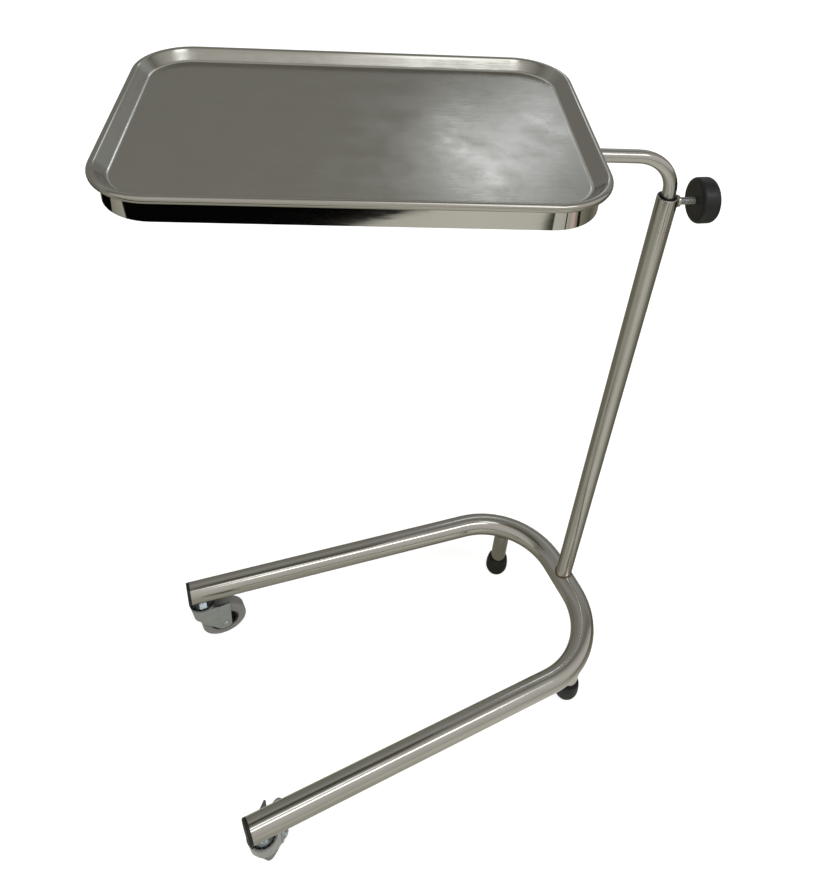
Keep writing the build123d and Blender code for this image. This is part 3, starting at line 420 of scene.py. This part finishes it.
def mirror_bar():
    """Flat bar polished to a mirror, with the faint ripple of hand polishing."""
    made, tree, coords = new_finish("mirror_polished_bar")
    ripple = add(tree, "ShaderNodeTexNoise", {"Vector": stretched(tree, coords, ARM_AZIMUTH, *BAR_RIPPLE),
                                              "Scale": 1.0, "Detail": 2.0})
    fine = add(tree, "ShaderNodeTexNoise", {"Vector": stretched(tree, coords, ARM_AZIMUTH, *BAR_LINE),
                                            "Scale": 1.0, "Detail": 3.0})
    rough = add(tree, "ShaderNodeMapRange", {"Value": fine.outputs["Fac"], "From Min": 0.3, "From Max": 0.7,
                                             "To Min": 0.03, "To Max": 0.07})
    bump = add(tree, "ShaderNodeBump", {"Height": ripple.outputs["Fac"], "Strength": 0.25,
                                        "Distance": 0.15 * MM})
    steel = add(tree, "ShaderNodeBsdfPrincipled", {"Base Color": linear("#cac8c2"), "Metallic": 1.0,
                                                   "Roughness": rough.outputs[0], "Normal": bump.outputs[0]})
    close(tree, steel.outputs[0])
    return made


def zinc_plate(name, colour, shade):
    """Pressed steel under bright zinc: a cool grey skin with a fine crystalline mottle."""
    made, tree, coords = new_finish(name)
    spangle = add(tree, "ShaderNodeTexVoronoi", {"Vector": coords, "Scale": 1 / ZINC_SPANGLE,
                                                 "Randomness": 1.0})
    cloud = add(tree, "ShaderNodeTexNoise", {"Vector": coords, "Scale": 1 / ZINC_CLOUD, "Detail": 4.0})
    mixed = add(tree, "ShaderNodeMix", {"Factor": 0.3, "A": cloud.outputs["Fac"],
                                        "B": spangle.outputs["Distance"]}, data_type="FLOAT")
    tint = add(tree, "ShaderNodeMix", {"Factor": mixed.outputs["Result"], "A": linear(colour),
                                       "B": linear(shade)}, data_type="RGBA")
    rough = add(tree, "ShaderNodeMapRange", {"Value": mixed.outputs["Result"], "From Min": 0.25,
                                             "From Max": 0.7, "To Min": 0.14, "To Max": 0.28})
    bump = add(tree, "ShaderNodeBump", {"Height": cloud.outputs["Fac"], "Strength": 0.3,
                                        "Distance": 0.03 * MM})
    zinc = add(tree, "ShaderNodeBsdfPrincipled", {"Base Color": tint.outputs["Result"], "Metallic": 1.0,
                                                  "Roughness": rough.outputs[0], "Normal": bump.outputs[0]})
    close(tree, zinc.outputs[0])
    return made


def moulded(name, colour, worn, rough_low, rough_high, grain, depth, ior):
    """Moulded plastic or rubber with a spark-eroded grain and slightly paler handled patches."""
    made, tree, coords = new_finish(name)
    pits = add(tree, "ShaderNodeTexNoise", {"Vector": coords, "Scale": 1 / grain, "Detail": 3.0})
    patch = add(tree, "ShaderNodeTexNoise", {"Vector": coords, "Scale": 1 / WORN_PATCH, "Detail": 3.0})
    tint = add(tree, "ShaderNodeMix", {"Factor": patch.outputs["Fac"], "A": linear(colour),
                                       "B": linear(worn)}, data_type="RGBA")
    rough = add(tree, "ShaderNodeMapRange", {"Value": patch.outputs["Fac"], "From Min": 0.3, "From Max": 0.7,
                                             "To Min": rough_low, "To Max": rough_high})
    bump = add(tree, "ShaderNodeBump", {"Height": pits.outputs["Fac"], "Strength": 0.5,
                                        "Distance": depth * MM})
    body = add(tree, "ShaderNodeBsdfPrincipled", {"Base Color": tint.outputs["Result"],
                                                  "Roughness": rough.outputs[0], "IOR": ior,
                                                  "Normal": bump.outputs[0]})
    close(tree, body.outputs[0])
    return made


def turned_metal(name, colour, low, high):
    """Turned metal with fine tool marks."""
    made, tree, coords = new_finish(name)
    marks = add(tree, "ShaderNodeTexNoise", {"Vector": coords, "Scale": 1 / TOOL_MARK, "Detail": 2.0})
    rough = add(tree, "ShaderNodeMapRange", {"Value": marks.outputs["Fac"], "To Min": low, "To Max": high})
    metal = add(tree, "ShaderNodeBsdfPrincipled", {"Base Color": linear(colour), "Metallic": 1.0,
                                                   "Roughness": rough.outputs[0]})
    close(tree, metal.outputs[0])
    return made


def weld_metal():
    """Weld bead left from polishing: darker steel with a straw and brown heat tint."""
    made, tree, coords = new_finish("heat_tinted_weld")
    heat = add(tree, "ShaderNodeTexNoise", {"Vector": coords, "Scale": 1 / HEAT_PATCH, "Detail": 3.0})
    tint = add(tree, "ShaderNodeMix", {"Factor": heat.outputs["Fac"], "A": linear("#6e5a4a"),
                                       "B": linear("#8d8171")}, data_type="RGBA")
    steel = add(tree, "ShaderNodeBsdfPrincipled", {"Base Color": tint.outputs["Result"], "Metallic": 1.0,
                                                   "Roughness": 0.34})
    close(tree, steel.outputs[0])
    return made


line, width = TUBE_LINE
base_steel = polished_tube("polished_stainless_base_tube", 180, line, width, width, "#c8c6c0", "#bab8b1")
mast_steel = polished_tube("polished_stainless_mast_tube", 0, width, width, line, "#c8c6c0", "#bab8b1")
line, width = ROD_LINE
rod_steel = polished_tube("polished_stainless_rod", ARM_AZIMUTH, line, width, width, "#cbc9c4", "#bfbdb7")
tray_steel = brushed_tray()
ring_steel = mirror_bar()
fork_zinc = zinc_plate("bright_zinc_plate", "#d6dcdf", "#b4bcc0")
screw_zinc = zinc_plate("zinc_plated_screw", "#c9cbc9", "#b0b2b0")
# Mouldings: colour and worn colour, lowest and highest roughness, grain and its depth in mm, refractive index
knob_nylon = moulded("satin_black_nylon", "#08080a", "#101012", 0.3, 0.4, 0.5, 0.02, 1.53)
cap_polythene = moulded("black_polythene", "#0c0c0c", "#141414", 0.42, 0.55, 0.6, 0.03, 1.5)
hub_polypropylene = moulded("black_polypropylene", "#0f0f10", "#1a1a1a", 0.4, 0.5, 0.6, 0.02, 1.49)
foot_rubber = moulded("black_rubber", "#0b0b0b", "#121211", 0.5, 0.66, 0.5, 0.04, 1.52)
tyre_rubber = moulded("grey_thermoplastic_rubber", "#757472", "#838280", 0.5, 0.64, 0.6, 0.04, 1.5)
ball_steel = turned_metal("bearing_steel", "#b9b9b9", 0.05, 0.12)
pad_brass = turned_metal("turned_brass", "#c79f52", 0.2, 0.32)
weld_steel = weld_metal()

NODE_FINISHES = {
    base_steel: ("base_tube",),
    mast_steel: ("mast_tube", "foot_stub_left", "foot_stub_right", "clamp_boss"),
    rod_steel: ("arm_rod",),
    tray_steel: ("tray",),
    ring_steel: ("tray_ring",),
    fork_zinc: ("caster_fork_left", "caster_fork_right", "caster_stem_left", "caster_stem_right",
                "caster_axle_left", "caster_axle_right", "stem_nut_left", "stem_nut_right"),
    screw_zinc: ("clamp_stud", "knob_insert", "guide_washer", "guide_screw"),
    knob_nylon: ("clamp_knob", "knob_cap"),
    cap_polythene: ("end_cap_left", "end_cap_right", "mast_bush", "rod_guide"),
    hub_polypropylene: ("wheel_hub_left", "wheel_hub_right"),
    foot_rubber: ("foot_left", "foot_right"),
    tyre_rubber: ("tyre_left", "tyre_right"),
    ball_steel: ("race_balls_left", "race_balls_right"),
    pad_brass: ("clamp_pad",),
}
for finish, names in NODE_FINISHES.items():
    for node_name in names:
        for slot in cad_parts[node_name].material_slots:
            slot.material = finish


# Small parts the solids leave plain
def mast_point(x, y, z):
    """Point in metres from millimetres measured at the foot of the mast axis."""
    return Vector(((MAST_X + x) * MM, (MAST_Y + y) * MM, z * MM))


def closed_loop(name, points):
    """Mesh of one closed chain of edges."""
    mesh = bpy.data.meshes.new(name)
    edges = [(i, (i + 1) % len(points)) for i in range(len(points))]
    mesh.from_pydata(points, edges, [])
    made = bpy.data.objects.new(name, mesh)
    bpy.context.scene.collection.objects.link(made)
    return made


def new_tree(name):
    """Geometry tree with a geometry input and output."""
    tree = bpy.data.node_groups.new(name, "GeometryNodeTree")
    tree.interface.new_socket("Geometry", in_out="INPUT", socket_type="NodeSocketGeometry")
    tree.interface.new_socket("Geometry", in_out="OUTPUT", socket_type="NodeSocketGeometry")
    return tree


def ask(tree, name, default, kind="NodeSocketFloat"):
    """Named input of a geometry tree."""
    socket = tree.interface.new_socket(name, in_out="INPUT", socket_type=kind)
    if default is not None:
        socket.default_value = default


def weld_tree():
    """Overlapping scales of weld metal laid along a chain of edges."""
    tree = new_tree("weld_ripples")
    ask(tree, "Width", WELD_W * MM)
    ask(tree, "Ripple Spacing", WELD_STEP * MM)
    ask(tree, "Seed", 7, "NodeSocketInt")
    ask(tree, "Finish", None, "NodeSocketMaterial")
    given = add(tree, "NodeGroupInput").outputs
    seam = add(tree, "GeometryNodeMeshToCurve", {"Mesh": given["Geometry"]})
    dots = add(tree, "GeometryNodeCurveToPoints", {"Curve": seam.outputs[0],
                                                   "Length": given["Ripple Spacing"]}, mode="LENGTH")
    jitter = add(tree, "FunctionNodeRandomValue", {"Min": 0.88, "Max": 1.08, "Seed": given["Seed"]},
                 data_type="FLOAT")
    radius = add(tree, "ShaderNodeMath", {0: given["Width"], 1: 0.5}, operation="MULTIPLY")
    scale = add(tree, "GeometryNodeMeshUVSphere", {"Segments": 12, "Rings": 7, "Radius": radius.outputs[0]})
    flat = add(tree, "GeometryNodeTransform", {"Geometry": scale.outputs[0], "Scale": WELD_SCALE_SHAPE})
    laid = add(tree, "GeometryNodeInstanceOnPoints", {"Points": dots.outputs["Points"],
                                                      "Instance": flat.outputs[0],
                                                      "Rotation": dots.outputs["Rotation"],
                                                      "Scale": jitter.outputs["Value"]})
    real = add(tree, "GeometryNodeRealizeInstances", {"Geometry": laid.outputs[0]})
    smooth = add(tree, "GeometryNodeSetShadeSmooth", {"Geometry": real.outputs[0]})
    coloured = add(tree, "GeometryNodeSetMaterial", {"Geometry": smooth.outputs[0],
                                                     "Material": given["Finish"]})
    add(tree, "NodeGroupOutput", {"Geometry": coloured.outputs[0]})
    return tree


def grow(name, base_object, tree, values, body):
    """Run a geometry tree on an object and keep the result as a plain piece on a body."""
    modifier = base_object.modifiers.new("grow", "NODES")
    modifier.node_group = tree
    for item in tree.interface.items_tree:
        if item.in_out == "INPUT" and item.name in values:
            modifier[item.identifier] = values[item.name]
    ready = base_object.evaluated_get(bpy.context.evaluated_depsgraph_get())
    mesh = bpy.data.meshes.new_from_object(ready)
    bpy.data.objects.remove(base_object)
    mesh.name = name
    made = bpy.data.objects.new(name, mesh)
    bpy.context.scene.collection.objects.link(made)
    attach(made, body)
    return made


def turns(count):
    """Angles of one whole turn in equal steps."""
    return [2 * math.pi * i / count for i in range(count)]


def mast_foot_seam():
    """Saddle line where the mast lands on the base tube."""
    line = []
    for angle in turns(SEAM_POINTS):
        x, y = MAST_R * math.cos(angle), MAST_R * math.sin(angle)
        line.append(mast_point(x, y, BASE_Z + math.sqrt(TUBE_R**2 - x**2)))
    return line


def stub_seam(side):
    """Line where a foot stub meets the underside of the bend."""
    tangent = BEND_R * math.tan(math.radians(90 - SPLAY) / 2)
    centre_y = CORNER_Y - tangent
    foot_x = -BEND_R + BEND_R * math.cos(math.radians(FOOT_ANGLE))
    foot_y = centre_y + BEND_R * math.sin(math.radians(FOOT_ANGLE))
    line = []
    for angle in turns(SEAM_POINTS):
        x, y = foot_x + MAST_R * math.cos(angle), foot_y + MAST_R * math.sin(angle)
        off = math.hypot(x + BEND_R, y - centre_y) - BEND_R
        line.append(mast_point(x, side * y, BASE_Z - math.sqrt(TUBE_R**2 - off**2)))
    return line


def boss_seam():
    """Line round the clamp boss on the wall of the mast."""
    out = bearing(CLAMP_AZIMUTH)
    across = Vector((-out.y, out.x, 0))
    line = []
    for angle in turns(BOSS_POINTS):
        sideways, rise = BOSS_R * math.cos(angle), BOSS_R * math.sin(angle)
        spot = out * math.sqrt(MAST_R**2 - sideways**2) + across * sideways
        line.append(mast_point(spot.x, spot.y, CLAMP_Z + rise))
    return line


def ring_seam(reach):
    """Outline of the patch where the arm rod runs under one side of the ring, at a reach from the mast."""
    out = bearing(ARM_AZIMUTH)
    across = Vector((-out.y, out.x, 0))
    half_long = RING_T / 2 + RING_WELD_PAST
    rise = math.sqrt(ROD_R**2 - RING_WELD_HALF**2)
    line = []
    for along, sideways in ((-1, -1), (-1, 1), (1, 1), (1, -1)):
        spot = out * (reach + along * half_long) + across * (sideways * RING_WELD_HALF)
        line.append(mast_point(spot.x, spot.y, ROD_Z + rise))
    return line


def thread_tree():
    """Screw thread wound on a core, laid along an axis that starts at a given point."""
    tree = new_tree("screw_thread")
    ask(tree, "Crest Radius", STUD_R * MM)
    ask(tree, "Thread Depth", THREAD_DEPTH * MM)
    ask(tree, "Pitch", STUD_PITCH * MM)
    ask(tree, "Length", 10 * MM)
    ask(tree, "Start", None, "NodeSocketVector")
    ask(tree, "Turn", None, "NodeSocketRotation")
    ask(tree, "Finish", None, "NodeSocketMaterial")
    given = add(tree, "NodeGroupInput").outputs
    root = add(tree, "ShaderNodeMath", {0: given["Crest Radius"], 1: given["Thread Depth"]},
               operation="SUBTRACT")
    count = add(tree, "ShaderNodeMath", {0: given["Length"], 1: given["Pitch"]}, operation="DIVIDE")
    helix = add(tree, "GeometryNodeCurveSpiral", {
        "Resolution": 28, "Rotations": count.outputs[0], "Start Radius": root.outputs[0],
        "End Radius": root.outputs[0], "Height": given["Length"]})
    ridge = add(tree, "GeometryNodeCurvePrimitiveCircle", {"Resolution": 4, "Radius": given["Thread Depth"]},
                mode="RADIUS")
    wound = add(tree, "GeometryNodeCurveToMesh", {"Curve": helix.outputs[0],
                                                  "Profile Curve": ridge.outputs[0], "Fill Caps": True})
    core = add(tree, "GeometryNodeMeshCylinder", {"Vertices": 40, "Radius": root.outputs[0],
                                                  "Depth": given["Length"]})
    half = add(tree, "ShaderNodeMath", {0: given["Length"], 1: 0.5}, operation="MULTIPLY")
    middle = add(tree, "ShaderNodeCombineXYZ", {"Z": half.outputs[0]})
    raised = add(tree, "GeometryNodeTransform", {"Geometry": core.outputs["Mesh"],
                                                 "Translation": middle.outputs[0]})
    both = add(tree, "GeometryNodeJoinGeometry")
    for part in (wound.outputs[0], raised.outputs[0]):
        tree.links.new(part, both.inputs[0])
    laid = add(tree, "GeometryNodeTransform", {"Geometry": both.outputs[0], "Translation": given["Start"],
                                               "Rotation": given["Turn"]})
    real = add(tree, "GeometryNodeRealizeInstances", {"Geometry": laid.outputs[0]})
    coloured = add(tree, "GeometryNodeSetMaterial", {"Geometry": real.outputs[0],
                                                     "Material": given["Finish"]})
    add(tree, "NodeGroupOutput", {"Geometry": coloured.outputs[0]})
    return tree


weld = weld_tree()
WELD = {"Width": WELD_W * MM, "Ripple Spacing": WELD_STEP * MM, "Seed": 7, "Finish": weld_steel}
SMALL_WELD = {"Width": SMALL_WELD_W * MM, "Ripple Spacing": SMALL_WELD_STEP * MM, "Seed": 11,
              "Finish": weld_steel}
RING_REACH = TRAY_LENGTH / 2 - RING_INSET - RING_T / 2
for piece_name, seam_points, values, body_name, slot_name in (
        ("weld_mast_foot", mast_foot_seam(), WELD, "base", "tube_polished"),
        ("weld_stub_left", stub_seam(1), WELD, "base", "tube_polished"),
        ("weld_stub_right", stub_seam(-1), WELD, "base", "tube_polished"),
        ("weld_boss", boss_seam(), SMALL_WELD, "base", "tube_polished"),
        ("weld_ring_near", ring_seam(TRAY_REACH - RING_REACH), SMALL_WELD, "arm", "rod_polished"),
        ("weld_ring_far", ring_seam(TRAY_REACH + RING_REACH), SMALL_WELD, "arm", "rod_polished")):
    grow(piece_name, closed_loop("seam", seam_points), weld, values, body_name)

stud_axis = bearing(CLAMP_AZIMUTH)
stud_start = mast_point(*(stud_axis * STUD_START).xy, CLAMP_Z)
empty_start = bpy.data.objects.new("stud_start", bpy.data.meshes.new("stud_start"))
bpy.context.scene.collection.objects.link(empty_start)
STUD_VALUES = {"Length": (STUD_END - STUD_START) * MM, "Start": stud_start,
               "Turn": stud_axis.to_track_quat("Z", "Y").to_euler(), "Finish": screw_zinc}
stud = grow("threaded_stud", empty_start, thread_tree(), STUD_VALUES, "clamp_screw")
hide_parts("clamp_stud")
